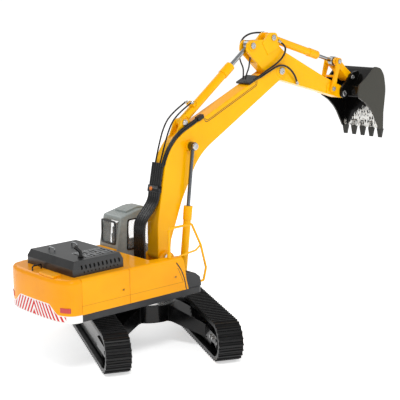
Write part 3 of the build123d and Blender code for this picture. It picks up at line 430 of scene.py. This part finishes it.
def tooth_enamel():
    """Teeth keep their dark enamel at the tips. Above the lip they are scratched bright like the patch."""
    material, tree, shader, tone = enamel("worn_tooth_enamel", "353531", "2b2b28", 0.3, 0.03, 0.25)
    x, y, z = axis_values(tree)
    ragged = noise(tree, place(tree), 1.2, 4.0)
    wander = math_node(tree, "MULTIPLY", math_node(tree, "SUBTRACT", ragged, 0.5), 3.0)
    raised = math_node(tree, "ADD", z, wander)
    above_lip = spread(tree, raised, ADAPTER_Z, ADAPTER_Z + 0.8)
    edges = math_node(tree, "MULTIPLY", above_lip, spread(tree, ragged, 0.42, 0.52))
    tree.links.new(mix(tree, math_node(tree, "MULTIPLY", edges, 0.8), tone, linear("d8d8d4")),
                   shader.inputs["Base Color"])
    return material


bucket_paint = bucket_enamel()
tooth_iron = tooth_enamel()

# %% [markdown]
# Now every CAD node gets its finish. A dictionary from finish to node names keeps this in one place and the
# last line tells us if a node was missed.

# %% Finishes for the CAD nodes
finishes = {
    golden_enamel: ["deck_plate", "counterweight_plate", "boom_foot_brackets"],
    door_paint: ["right_rear_door", "right_front_cover", "left_rear_door", "left_front_cover"],
    counterweight_paint: ["counterweight"],
    bright_enamel: ["boom", "stick", "boom_cylinder_barrels", "stick_cylinder_barrel",
                    "bucket_cylinder_barrel", "rocker", "bucket_link", "handrail"],
    black_enamel: ["track_frame_left", "track_frame_right", "car_body", "bottom_rollers", "carrier_rollers",
                   "sprocket_left", "sprocket_right", "idler_left", "idler_right"],
    track_plastic: ["track_belt_left", "track_belt_right"],
    hood_plastic: ["engine_hood"],
    step_plastic: ["step_box", "base_frame"],
    black_plastic: ["counterweight_lever", "exhaust_pipe", "hose_post", "hose_guard", "control_levers",
                    "hose_clamps"],
    cab_plastic: ["cab_shell", "cab_roof_hatch"],
    glazing: ["cab_glazing"],
    seat_plastic: ["operator_seat"],
    rod_chrome_painted_dark_reflection: ["boom_cylinder_rods"],
    bright_chrome: ["hood_handles", "stick_cylinder_rod", "bucket_cylinder_rod"],
    pin_steel: ["frame_screws", "swing_race_lower", "swing_race_upper", "swing_screw", "boom_foot_pin",
                "boom_cylinder_base_pins", "boom_pins", "stick_pins", "rocker_pin", "bucket_pins"],
    lens_red: ["tail_reflectors"],
    orange_plastic: ["guard_rivet"],
    bucket_paint: ["bucket_shell"],
    tooth_iron: ["bucket_teeth"],
    hose_rubber: ["boom_hoses", "stick_hoses"],
}
for material, names in finishes.items():
    for name in names:
        nodes[name].data.materials.clear()
        nodes[name].data.materials.append(material)
missed = sorted(set(nodes) - {name for names in finishes.values() for name in names})
print("CAD nodes with a finish:", len(nodes) - len(missed), "missed:", missed)


# %% [markdown]
# New pieces are surfaces on a grid. One function turns a grid of points into a mesh: rows of quads that
# close round each row, and either close end to end too or get a cap at both ends.


# %% Grid surfaces
def grid_mesh(name, points, material, body, close_rows=False, smooth=True):
    """points is rows x columns x 3, in millimetres. Each quad joins a point to the next ones in the grid."""
    rows, columns = points.shape[:2]
    index = np.arange(rows * columns).reshape(rows, columns)
    lower = index if close_rows else index[:-1]
    upper = np.roll(index, -1, 0) if close_rows else index[1:]
    quads = np.stack([lower, np.roll(lower, -1, 1), np.roll(upper, -1, 1), upper], -1).reshape(-1, 4)
    faces = quads.tolist()
    if not close_rows:
        faces += [index[0][::-1].tolist(), index[-1].tolist()]
    mesh = bpy.data.meshes.new(name)
    mesh.from_pydata((points.reshape(-1, 3) * MM).tolist(), [], faces)
    mesh.materials.append(material)
    piece = bpy.data.objects.new(name, mesh)
    bpy.context.scene.collection.objects.link(piece)
    face_outwards(mesh)
    mesh.polygons.foreach_set("use_smooth", [smooth and len(face) == 4 for face in faces])
    if body:
        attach(piece, body)
    return piece


def face_outwards(mesh):
    """Turns the faces of a closed mesh to point out."""
    work = bmesh.new()
    work.from_mesh(mesh)
    bmesh.ops.recalc_face_normals(work, faces=work.faces)
    work.to_mesh(mesh)
    work.free()


def carried(path, section):
    """A closed section of (side, out) pairs carried along a path: side is along Y, out lies in XZ."""
    path, section = np.array(path, float), np.array(section, float)
    ahead = np.gradient(path, axis=0)
    ahead /= np.linalg.norm(ahead, axis=1)[:, None]
    side = np.broadcast_to(np.array([0.0, 1.0, 0.0]), ahead.shape)
    out = np.cross(side, ahead)
    return (path[:, None] + side[:, None] * section[None, :, :1] + out[:, None] * section[None, :, 1:])


def smooth_line(points, count):
    """Points evenly along a curve of degree two over given points, read from a NURBS spline."""
    curve = bpy.data.curves.new("guide", "CURVE")
    curve.dimensions = "3D"
    spline = curve.splines.new("NURBS")
    spline.points.add(len(points) - 1)
    for target, point in zip(spline.points, points):
        target.co = (*point, 1.0)
    spline.order_u = 3
    spline.use_endpoint_u = True
    curve.resolution_u = 24
    holder = bpy.data.objects.new("guide", curve)
    bpy.context.scene.collection.objects.link(holder)
    bpy.context.view_layer.update()
    mesh = bpy.data.meshes.new_from_object(holder.evaluated_get(bpy.context.evaluated_depsgraph_get()))
    line = np.array([v.co for v in mesh.vertices])
    bpy.data.objects.remove(holder)
    bpy.data.meshes.remove(mesh)
    run = np.concatenate([[0], np.cumsum(np.linalg.norm(np.diff(line, axis=0), axis=1))])
    spots = np.linspace(0, run[-1], count)
    return np.stack([np.interp(spots, run, line[:, axis]) for axis in range(3)], 1)


# %% [markdown]
# The hose strip. On the toy, five hoses are moulded side by side as one flexible black strip that rises
# from the deck behind the boom foot and lies on the boom's back. Its section is five half-rounds on a flat
# back, and the path is the middle line of its two CAD solids. It has to bend when the boom moves, but here
# it is one fixed piece, tied to no body.

# %% The hose strip
STRIP_HALF, STRIP_HOSES = 5.0, 5
STRIP_PATH = [(-5.9, 0, 37.2), (-5.9, 0, 52.0), (-5.9, 0, 64.0), (-5.7, 0, 73.2), (-3.6, 0, 76.6),
              (1.6, 0, 82.0), (5.6, 0, 86.8), (6.5, 0, 92.6), (8.2, 0, 101.0), (9.9, 0, 109.6)]


def strip_section():
    """Flat inner face, then five half-rounds: height is the circle's height over each hose's own width."""
    width = 2 * STRIP_HALF / STRIP_HOSES
    side = np.linspace(-STRIP_HALF + 0.05, STRIP_HALF - 0.05, 51)
    offset = (side + STRIP_HALF) % width / width * 2 - 1
    round_part = np.sqrt(np.clip(1 - offset ** 2, 0, 1)) * 0.72
    outer = np.stack([side, -(0.25 + round_part)], 1)
    inner = np.array([(STRIP_HALF, 0.1), (STRIP_HALF - 0.2, 0.95), (0, 0.95), (-STRIP_HALF + 0.2, 0.95),
                      (-STRIP_HALF, 0.1)])
    return np.concatenate([outer, inner])


strip_line = smooth_line(STRIP_PATH, 90)
strip_grid = carried(strip_line, strip_section())
hose_strip = grid_mesh("hose_strip", strip_grid, black_plastic, None)
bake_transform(hose_strip)
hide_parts("hose_post", "hose_guard")
strip_length = float(np.linalg.norm(np.diff(strip_line, axis=0), axis=1).sum())
print("strip rows", len(strip_line), "length mm", round(strip_length, 1))


# %% [markdown]
# A saddle holds the strip to the boom under its orange button. It is a flat band with rounded edges, so its
# section is a superellipse, |a|^n + |b|^n = 1, which goes from a circle to a box as n grows.


# %% Saddles
def superellipse(half_a, half_b, power, count=40):
    turn = np.linspace(0, 2 * np.pi, count, endpoint=False)
    c, s = np.cos(turn), np.sin(turn)
    bend = 2 / power
    return np.stack([half_a * np.sign(c) * np.abs(c) ** bend, half_b * np.sign(s) * np.abs(s) ** bend], 1)


def cushion_block(name, centre, along, half_length, half_a, half_b, material, body, power=8, edge=0.35):
    """A block whose section grows in a quarter turn at its near end. Its far end is dished inside a rim."""
    along = np.array(along, float) / np.linalg.norm(along)
    turn = np.linspace(0, np.pi / 2, 5)
    ramp = np.sort(edge * (1 - np.sin(turn)))
    fall = np.sort(edge * (1 - np.cos(turn)))
    runs = np.concatenate([-half_length + ramp, half_length - ramp])
    shrink = np.concatenate([fall[::-1], fall])
    side = np.array([0.0, 1.0, 0.0])
    out = np.cross(side, along)
    rings = []
    for run, less in zip(runs, shrink):
        ring = superellipse(half_a - less, half_b - less, power)
        rings.append(np.array(centre) + along * run + ring[:, :1] * side + ring[:, 1:] * out)
    return grid_mesh(name, np.array(rings), material, body)


SADDLE_WAY = (1.0, 0.0, 5.6)
BUTTON_OUT = np.array([-5.6, 0.0, 1.0]) / math.hypot(5.6, 1.0)      # square to the saddle's way
cushion_block("strip_saddle", (6.75, 0, 93.8), SADDLE_WAY, 2.1, 5.35, 1.5, black_plastic, "boom_arm")


def dome(name, centre, out, profile, material, body, sides=28):
    """Spins (radius, height) pairs round an axis that is square to Y. Height grows along out."""
    turn = np.linspace(0, 2 * np.pi, sides, endpoint=False)[:, None]
    side = np.array([0.0, 1.0, 0.0])
    across = np.cross(out, side)
    rings = [np.array(centre) + out * height + radius * (np.cos(turn) * side + np.sin(turn) * across)
             for radius, height in profile]
    return grid_mesh(name, np.array(rings), material, body)


button = dome("strip_button", (6.75, 1.6, 93.8), BUTTON_OUT,
              ((1.25, 1.2), (1.25, 1.6), (1.1, 1.95), (0.75, 2.2), (0.3, 2.3)),
              orange_plastic, "boom_arm")
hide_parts("guard_rivet")


# %% [markdown]
# Hoses are round tubes along smooth lines. The points are listed along the CAD's routes: out of a
# fitting, along the casting and into the next fitting. The tube turns a ring of points round the line with
# a frame that is carried along it, so that it does not twist.


# %% Hose maker
def tube_points(line, radius, sides=14):
    """A ring of points round each point of the line. The ring's first axis is square to the path."""
    ahead = np.gradient(line, axis=0)
    ahead /= np.linalg.norm(ahead, axis=1)[:, None]
    helper = np.array([0.0, 1.0, 0.02])
    first = np.cross(ahead, helper)
    first /= np.linalg.norm(first, axis=1)[:, None]
    second = np.cross(ahead, first)
    turn = np.linspace(0, 2 * np.pi, sides, endpoint=False)
    radius = np.broadcast_to(radius, (len(line),))[:, None, None]
    ring = np.cos(turn)[None, :, None] * first[:, None] + np.sin(turn)[None, :, None] * second[:, None]
    return line[:, None] + ring * radius


def fitting(name, start, ahead, body, radius=0.95, length=2.6):
    """A crimped steel sleeve: a profile of radius against length, with two grooves and a collar."""
    ahead = np.array(ahead, float) / np.linalg.norm(ahead)
    run = np.array([0, 0, 0.12, 0.55, 0.6, 0.75, 0.8, 1.15, 1.2, 1.35, 1.4, 1.8, 1.85, 2.5, 2.6])
    run *= length / run[-1]
    size = np.array([0.4, 0.8, 0.9, 0.9, 0.8, 0.8, 0.9, 0.9, 0.8, 0.8, 0.9, 0.9, 1.15, 1.15, 1.0]) * radius
    line = np.array(start) + ahead * run[:, None]
    safe = line + ahead * (np.arange(len(run)) * 1e-4)[:, None]
    return grid_mesh(name, tube_points(safe, size, 18), pin_steel, body)


def hose(name, points, radius, body, sides=14):
    line = smooth_line(points, max(24, 8 * len(points)))
    piece = grid_mesh(name, tube_points(line, radius, sides), hose_rubber, body)
    return piece, line


# %% [markdown]
# Two hoses leave the strip, hug the bend of the boom's back and go under the lower clamp. Two thinner ones
# go up to the stick cylinder's ports, and two more run along the boom's right side, over the tip pin and on
# to the stick.

# %% Boom hoses
BEND = np.array([41.3, 99.8])
BOOM_HOSE_R = 0.72


def back_route(y, height):
    """Points on an arc round the centre of the boom's bend, then along its straight back to the clamp."""
    angles = np.radians([166.0, 156.0, 145.0, 134.0, 123.0])
    reach = 31.2 + height
    arc = [(BEND[0] + reach * math.cos(a), y, BEND[1] + reach * math.sin(a)) for a in angles]
    straight = [(28.7 + 0.914 * run - 0.407 * height, y, 128.1 + 0.407 * run + 0.914 * height)
                for run in (3.0, 12.5)]
    return [(9.6 - height * 0.4, y * 0.9, 107.6)] + arc + straight


back_hoses = [hose("back_hose_" + tag, back_route(y, height), BOOM_HOSE_R, "boom_arm")[0]
              for tag, y, height in (("lower", -4.95, 0.8), ("upper", -4.9, 2.15))]
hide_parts("boom_hoses")
port_routes = {
    "port_hose_right": [(9.6, -2.2, 109.0), (14.0, -3.0, 124.0), (18.8, -3.0, 133.6), (24.0, -3.0, 138.2),
                        (31.0, -3.0, 142.4), (34.6, -3.0, 144.2)],
    "port_hose_left": [(9.6, 2.2, 109.0), (14.0, 2.5, 124.0), (18.8, 2.5, 133.6), (24.0, 2.5, 138.2),
                       (31.0, 2.5, 142.4), (34.6, 2.5, 144.2)],
}
for name, points in port_routes.items():
    piece, line = hose(name, points, 0.5, "boom_arm")
    sign = -1 if name.endswith("right") else 1
    fitting(name + "_fitting", line[-1] + np.array([-0.4, 0, -0.1]), (1.0, -0.1 * sign, 0.2), "boom_arm",
            0.85, 2.2)
cushion_block("port_block", (37.6, 0, 143.2), (0.7947, 0, 0.6070), 1.5, 3.5, 1.1, bright_enamel, "boom_arm",
              5, 0.3)

# %% [markdown]
# These two cross the boom's tip pin, where a real hose takes up the motion in its own curve. Here each is
# one fixed piece tied to no body; only its end fitting rides on the stick.

# %% Hoses across the boom tip
tip_routes = {
    "tip_hose_upper": [(85.6, -5.6, 154.8), (90.5, -6.2, 157.0), (97.0, -6.3, 160.4),
                       (104.6, -6.4, 163.4), (111.8, -6.3, 168.0), (114.6, -6.1, 172.6),
                       (113.9, -5.6, 175.6), (111.2, -5.0, 177.4)],
    "tip_hose_lower": [(85.9, -4.2, 154.0), (91.6, -6.0, 156.2), (98.6, -6.3, 159.4),
                       (107.1, -6.6, 162.9), (113.4, -6.6, 162.6), (119.4, -6.5, 159.2),
                       (123.8, -6.2, 154.4), (125.6, -5.4, 151.4)],
}
for name, points in tip_routes.items():
    piece, line = hose(name, points, 0.62, None)
    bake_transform(piece)
    last_step = line[-1] - line[-4]
    fitting(name + "_fitting", line[-1] + last_step * 0.05, last_step, "stick_arm", 0.95, 2.4)
stick_loop, stick_loop_line = hose("stick_loop_hose", [
    (86.0, 5.6, 171.0), (84.4, 5.9, 176.6), (87.2, 5.9, 181.2), (92.8, 5.7, 183.6), (99.0, 5.4, 184.2),
    (103.4, 5.2, 183.9)], 0.6, "stick_arm")
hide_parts("stick_hoses")
fitting("stick_loop_fitting", stick_loop_line[-1], (1.0, -0.1, -0.1), "stick_arm", 0.85, 2.0)
for tag, side in (("right", -1.0), ("left", 1.0)):
    rise = hose("clamp_hose_" + tag, [(82.6, side * 1.0, 155.2), (83.4, side * 1.4, 158.6),
                                      (84.4, side * 2.6, 162.4), (83.4, side * 4.2, 166.4),
                                      (83.2, side * 5.1, 169.6)], 0.5, None)[0]
    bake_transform(rise)

# %% [markdown]
# Pin ends are small turned discs with a socket in the middle. The socket's near-black floor is painted shade
# for the hollow. Their profile, radius against height, is spun round the pin's axis. The tip pin's place is
# read from the frame's joint, and the others repeat the places of the CAD's pins.

# %% Pin ends
# The socket's near-black floor is painted shade, standing for the depth of the hollow.
socket_painted_shade = plastic("dark_socket_plastic", "0c0c0d", "151517", 0.4, 0.5, 0.01, 0.0)


def turned(name, centre, sign, profile, material, body, sides=32):
    """Spins (radius, height) pairs round an axis along Y. Height grows away from the middle."""
    turn = np.linspace(0, 2 * np.pi, sides, endpoint=False)
    rings = [np.stack([centre[0] + radius * np.cos(turn), np.full(sides, centre[1] + sign * height),
                       centre[2] + radius * np.sin(turn)], 1) for radius, height in profile]
    return grid_mesh(name, np.array(rings), material, body, smooth=False)


def pin_end(name, centre, sign, radius, body):
    rim = [(radius * 0.5, -0.2), (radius, -0.15), (radius, 0.1), (radius * 0.88, 0.28), (radius * 0.55, 0.32),
           (radius * 0.5, 0.1)]
    turned(name, centre, sign, rim, pin_steel, body)
    turned(name + "_socket", centre, sign, [(0.02, -0.1), (radius * 0.49, -0.1), (radius * 0.49, 0.06),
                                            (0.02, 0.09)], socket_painted_shade, body, 18)


tip_pin = next(np.array(joint["pos_m"]) / MM for joint in frame["joints"] if joint["name"] == "stick_hinge")
for side in (-1, 1):
    tag = "right" if side < 0 else "left"
    pin_end("tip_pin_end_" + tag, (tip_pin[0], side * 6.15, tip_pin[2]), side, 2.3, "boom_arm")
    pin_end("rod_pin_end_" + tag, (30.7, side * 11.35, 118.4), side, 2.1, "boom_arm")
    pin_end("stick_base_pin_end_" + tag, (28.8, side * 4.25, 132.6), side, 1.7, "boom_arm")
    pin_end("stick_rod_pin_end_" + tag, (86.4, side * 5.05, 176.6), side, 1.8, "stick_arm")
    pin_end("bucket_base_pin_end_" + tag, (104.9, side * 5.05, 180.9), side, 1.7, "stick_arm")
    pin_end("rocker_pin_end_" + tag, (167.2, side * 6.65, 161.9), side, 1.4, "rocker_arms")
    pin_end("bucket_pin_end_" + tag, (172.2, side * 7.0, 139.6), side, 1.9, "bucket")
    pin_end("bucket_lug_pin_end_" + tag, (180.5, side * 7.0, 150.3), side, 1.4, "bucket")

# %% [markdown]
# Printed lines. The boom carries a double pinstripe that follows its upper edge and turns in at both ends.
# A thin ribbon just proud of the paint is a surface along a path: the path's points, moved sideways in the
# boom's plane.


# %% Pinstripes
def ribbon(name, points, half, y, sign, material, body, lift=0.05):
    """A flat strip in the XZ plane on each side of a smooth line, with a thin edge."""
    line = smooth_line([(x, 0.0, z) for x, z in points], 60)
    ahead = np.gradient(line, axis=0)
    ahead /= np.linalg.norm(ahead, axis=1)[:, None]
    across = np.cross(ahead, np.array([0.0, 1.0, 0.0]))
    corners = [(-half, -0.02), (half, -0.02), (half, lift), (-half, lift)]
    rings = np.stack([line + across * a + np.array([0.0, y + sign * out, 0.0]) for a, out in corners], 1)
    return grid_mesh(name, rings, material, body, smooth=False)


print_black = plastic("printed_black_ink", "17150f", "1d1a13", 0.35, 0.8, 0.004, 0.0)
BOOM_SIDE_Y = 5.2
STRIPE = [(43.2, 134.6), (44.0, 131.6), (46.6, 131.9), (58.0, 137.2), (74.0, 144.4), (86.0, 149.8),
          (89.6, 151.6), (89.0, 154.2)]
STRIPE_IN = [(44.3, 134.0), (44.8, 132.7), (46.8, 133.0), (58.0, 138.2), (74.0, 145.4), (85.6, 150.7),
             (88.5, 152.0), (88.0, 153.6)]
for side in (-1, 1):
    tag = "right" if side < 0 else "left"
    for line, route, half in (("outer_", STRIPE, 0.2), ("inner_", STRIPE_IN, 0.16)):
        ribbon("boom_pinstripe_" + line + tag, route, half, side * BOOM_SIDE_Y, side, print_black, "boom_arm")

# %% [markdown]
# The front edge of the right side cover has a black rubber trim that sweeps down and back in an arc, and each
# door has a small recessed latch. Both are thin pieces on the doors' outer faces.

# %% Door trims and latches
COVER_Y = 30.67
TRIM = [(-2.6, 54.6), (0.0, 51.4), (2.2, 47.4), (3.9, 42.6), (4.9, 37.1)]
ribbon("door_edge_trim_right", TRIM, 0.32, -COVER_Y, -1, black_plastic, "upper", 0.12)
ribbon("door_edge_trim_right_rear", [(x - 1.6, z) for x, z in TRIM[1:4]], 0.12, -COVER_Y, -1, print_black,
       "upper", 0.04)


def latch(name, x, z, sign):
    """A paddle latch: a shallow frame round a small plate, as two blocks."""
    cushion_block(name + "_frame", (x, sign * COVER_Y, z), (1, 0, 0), 1.3, 0.1, 0.6, golden_enamel, "upper",
                  10, 0.05)
    cushion_block(name + "_paddle", (x + 0.3, sign * (COVER_Y + 0.06), z), (1, 0, 0.0), 0.5, 0.1, 0.25,
                  print_black, "upper", 6, 0.04)


for side in (-1, 1):
    tag = "right" if side < 0 else "left"
    latch("rear_door_latch_" + tag, -42.6, 46.0, side)
latch("front_cover_latch_right", -3.8, 46.2, -1)

# %% [markdown]
# Window seals. Each cab window has a black rubber seal round the pane. A seal is a small round-cornered
# loop: a superellipse path with a rectangular section, in the plane of its window.


# %% Window seals
def seal(name, centre, axis_a, axis_b, half_a, half_b, thickness=0.55, depth=0.35, power=9, skew=0.0):
    """A loop round a window. Skew leans the loop's top along axis_a, as the quarter window leans."""
    axis_a, axis_b = np.array(axis_a, float), np.array(axis_b, float)
    normal = np.cross(axis_a, axis_b)
    loop = superellipse(1.0, 1.0, power, 96)
    rings = []
    for inner, out in ((0.0, -depth), (0.0, depth), (-thickness, depth), (-thickness, -depth)):
        a = loop[:, :1] * (half_a + inner) + loop[:, 1:] * skew
        b = loop[:, 1:] * (half_b + inner)
        rings.append(np.array(centre) + a * axis_a + b * axis_b + normal * out)
    grid = np.array(rings).transpose(1, 0, 2)
    return grid_mesh(name, grid, black_plastic, "upper", close_rows=True, smooth=False)


cab_low, cab_high = (np.array(corner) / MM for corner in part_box("cab_shell"))
cab_middle = (cab_low[1] + cab_high[1]) / 2
seal("rear_window_seal", (-13.6, cab_middle - 0.4, 66.9), (0, 1, 0), (0.02, 0, 1), 7.1, 7.5, 1.1, 0.3, 16)
for side, y in (("right", cab_low[1]), ("left", cab_high[1])):
    seal("quarter_window_seal_" + side, (-0.6, y, 65.0), (1, 0, 0), (0, 0, 1), 5.3, 9.7, 0.85, 0.4, 12,
         skew=0.5)
print("cab box mm", cab_low.round(1), cab_high.round(1))

# %% [markdown]
# Two dark blocks inside the cab stand for the seat's tall back and the console beside it. They are seen
# only through the windows.

# %% Seat back and console
cushion_block("cab_seat_back", (-3.4, cab_middle - 1.5, 62.5), (-0.12, 0, 1), 8.2, 4.8, 1.9, seat_plastic,
              "upper", 5, 0.8)
cushion_block("cab_side_console", (0.4, cab_low[1] + 4.2, 57.0), (1, 0, 0), 5.4, 1.7, 4.2, seat_plastic,
              "upper", 6, 0.6)

# %% [markdown]
# Floor and light. The floor is pale, plain and glows a little, so that it stays white to the horizon. One
# soft light stands above and behind the camera's left, a second fills from the right, a third lights the
# far side, and an even sky keeps the shadows soft, as in a light tent.

# %% Floor, lights and sky
floor_mesh = bpy.data.meshes.new("floor")
HALF_FLOOR = 60.0
floor_corners = [(-1, -1, 0), (1, -1, 0), (1, 1, 0), (-1, 1, 0)]
floor_mesh.from_pydata((np.array(floor_corners) * HALF_FLOOR).tolist(), [], [(0, 1, 2, 3)])
floor_material, _, floor_shader = new_material("pale_floor", "fbfbfb", 0.6)
floor_shader.inputs["Emission Color"].default_value = (1, 1, 1, 1)
floor_shader.inputs["Emission Strength"].default_value = 0.55
floor_mesh.materials.append(floor_material)
floor = bpy.data.objects.new("floor", floor_mesh)
floor.location.z = -0.0002
bpy.context.scene.collection.objects.link(floor)


def area_light(name, place_mm, aim_mm, size_mm, power):
    data = bpy.data.lights.new(name, "AREA")
    data.shape, data.size, data.energy = "SQUARE", size_mm * MM, power
    light = bpy.data.objects.new(name, data)
    light.location = np.array(place_mm) * MM
    aim = np.array(aim_mm, float) - np.array(place_mm, float)
    light.rotation_mode = "QUATERNION"
    light.rotation_quaternion = Vector(aim).to_track_quat("-Z", "Y")
    bpy.context.scene.collection.objects.link(light)
    return light


area_light("key_light", (-350, -500, 900), (40, 0, 60), 260, 4.4)
area_light("fill_light", (500, -500, 450), (60, 0, 60), 400, 0.7)
area_light("back_light", (100, 700, 600), (60, 0, 60), 500, 1.1)
SKY_LIGHT = 0.52
world = bpy.data.worlds.new("light_tent")
world.use_nodes = True
world.node_tree.nodes["Background"].inputs["Color"].default_value = (1, 1, 1, 1)
world.node_tree.nodes["Background"].inputs["Strength"].default_value = SKY_LIGHT
bpy.context.scene.world = world
bpy.context.scene.view_settings.view_transform = "Standard"
